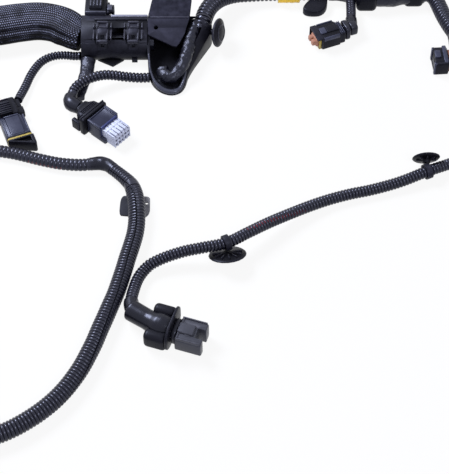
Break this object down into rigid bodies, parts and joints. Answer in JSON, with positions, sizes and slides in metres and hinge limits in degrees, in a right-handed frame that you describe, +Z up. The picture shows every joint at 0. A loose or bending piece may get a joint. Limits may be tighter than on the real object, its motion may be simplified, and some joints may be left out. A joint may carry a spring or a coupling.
{
  "type": "wiring harness",
  "caption": "Automotive wiring harness with a braided trunk, moulded duct, scoop outlet, ribbed conduits, sealed plugs and clips.",
  "frame": {"origin": "middle of the duct's flat underside, on the ground it lies on", "axes": "+Z up; +X from the trunk through the duct to the scoop; +Y towards the edge plug's and upper conduit's side"},
  "size_m": [0.6552, 0.6151, 0.0512],
  "materials": {
    "moulded": "satin black moulded plastic",
    "grey_moulded": "dark blue-grey moulded plastic",
    "rubber": "smooth black rubber",
    "conduit": "black ribbed plastic conduit",
    "tape": "wound black tape, shiny and creased",
    "braid": "black braided sleeve with light threads",
    "insert": "white plastic, slightly blue",
    "amber": "orange brown plastic",
    "yellow": "yellow seal rubber and tape"
  },
  "bodies": {
    "root": {"trunk": "braid", "trunk_collar": "tape", "trunk_breakout": "rubber", "trunk_connector": "moulded", "duct_tray": "moulded", "duct_cover": "moulded", "duct_bundle": "tape", "scoop": "moulded", "side_clip_stem": "moulded", "side_clip_cap": "moulded", "guide_plate": "moulded", "taped_tube": "tape", "upper_conduit": "conduit", "rear_plug_housing": "moulded", "rear_plug_latch": "moulded", "taped_branch": "tape", "side_conduit": "conduit", "thin_conduit": "conduit", "left_conduit": "conduit", "main_conduit": "conduit", "right_conduit": "conduit", "junction_tape": "tape", "yellow_band": "yellow", "bundle_sleeve": "tape", "bundle_clamp": "moulded", "bundle_bracket": "moulded", "branch_cap": "moulded", "multiway_cover": "moulded", "multiway_latch": "moulded", "multiway_lock": "moulded", "multiway_housing": "grey_moulded", "multiway_insert": "insert", "multiway_elbow": "rubber", "left_plug_lock": "moulded", "left_plug_housing": "grey_moulded", "left_plug_seal": "yellow", "left_plug_shroud": "moulded", "yoke_plug_flange": "moulded", "yoke_plug_seal": "rubber", "yoke_plug_housing": "grey_moulded", "yoke_plug_boot": "rubber", "two_pin_lead": "braid", "two_pin_boot": "rubber", "two_pin_collar": "moulded", "two_pin_housing": "moulded", "two_pin_seal": "yellow", "two_pin_insert": "amber", "edge_plug_lead": "conduit", "edge_plug_boot": "rubber", "edge_plug_ring": "amber", "edge_plug_shroud": "moulded", "front_clip_disc": "moulded", "front_clip_strap": "moulded", "side_clip_disc": "moulded", "side_clip_strap": "moulded", "plate_clip": "grey_moulded", "main_end_connector": "moulded", "right_end_connector": "moulded"}
  },
  "joints": []
}
